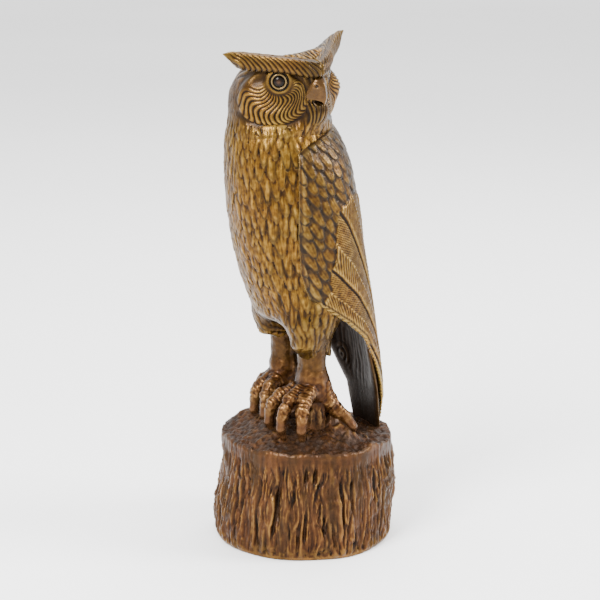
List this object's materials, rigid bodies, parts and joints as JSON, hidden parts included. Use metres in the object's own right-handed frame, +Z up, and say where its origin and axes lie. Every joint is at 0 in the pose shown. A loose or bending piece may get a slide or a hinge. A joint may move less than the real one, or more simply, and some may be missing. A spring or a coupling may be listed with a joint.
{
  "type": "owl figurine on tree stump",
  "caption": "Upright horned owl statuette with folded wings and turned head, taloned feet on a round bark-covered tree stump base.",
  "frame": {"origin": "centre of the underside of the felt pad, on the surface that the stump stands on", "axes": "+Z up; the owl's body and toes face -Y, so its left side is +X; its head looks back over the left shoulder, towards +X"},
  "size_m": [0.1022, 0.1098, 0.2856],
  "materials": {
    "bark_bronze": "dark red-brown patina over cast bark, waxed",
    "feather_bronze": "ochre patina rubbed back on the feathers, dark in the cuts, waxed",
    "wing_bronze": "brown-ochre patina, dark feather edges, waxed",
    "tail_bronze": "dark brown patina, waxed",
    "leg_bronze": "warm brown patina, waxed",
    "beak_bronze": "smooth polished brown patina",
    "ring_bronze": "near-black patina",
    "eye_glass": "glossy amber and black glass",
    "pin_bronze": "bare cast bronze",
    "fastener_steel": "zinc plated",
    "stud_brass": "turned brass rod",
    "board": "plain birch plywood, unfinished",
    "felt": "dark green wool felt"
  },
  "bodies": {
    "root": {"felt_pad": "felt", "base_board": "board", "board_screws": "fastener_steel", "stump_base": "bark_bronze", "left_leg": "leg_bronze", "right_leg": "leg_bronze", "leg_pins": "pin_bronze", "foot_studs": "stud_brass", "foot_washers": "fastener_steel", "foot_nuts": "fastener_steel", "body_shell": "feather_bronze", "wing_screws": "fastener_steel", "tail_screws": "fastener_steel", "tail": "tail_bronze", "head_shell": "feather_bronze", "neck_pins": "pin_bronze", "beak": "beak_bronze", "left_wing": "wing_bronze", "right_wing": "wing_bronze", "left_brow_tuft": "feather_bronze", "right_brow_tuft": "feather_bronze", "left_eye": "eye_glass", "right_eye": "eye_glass", "left_eye_ring": "ring_bronze", "right_eye_ring": "ring_bronze"}
  },
  "joints": []
}
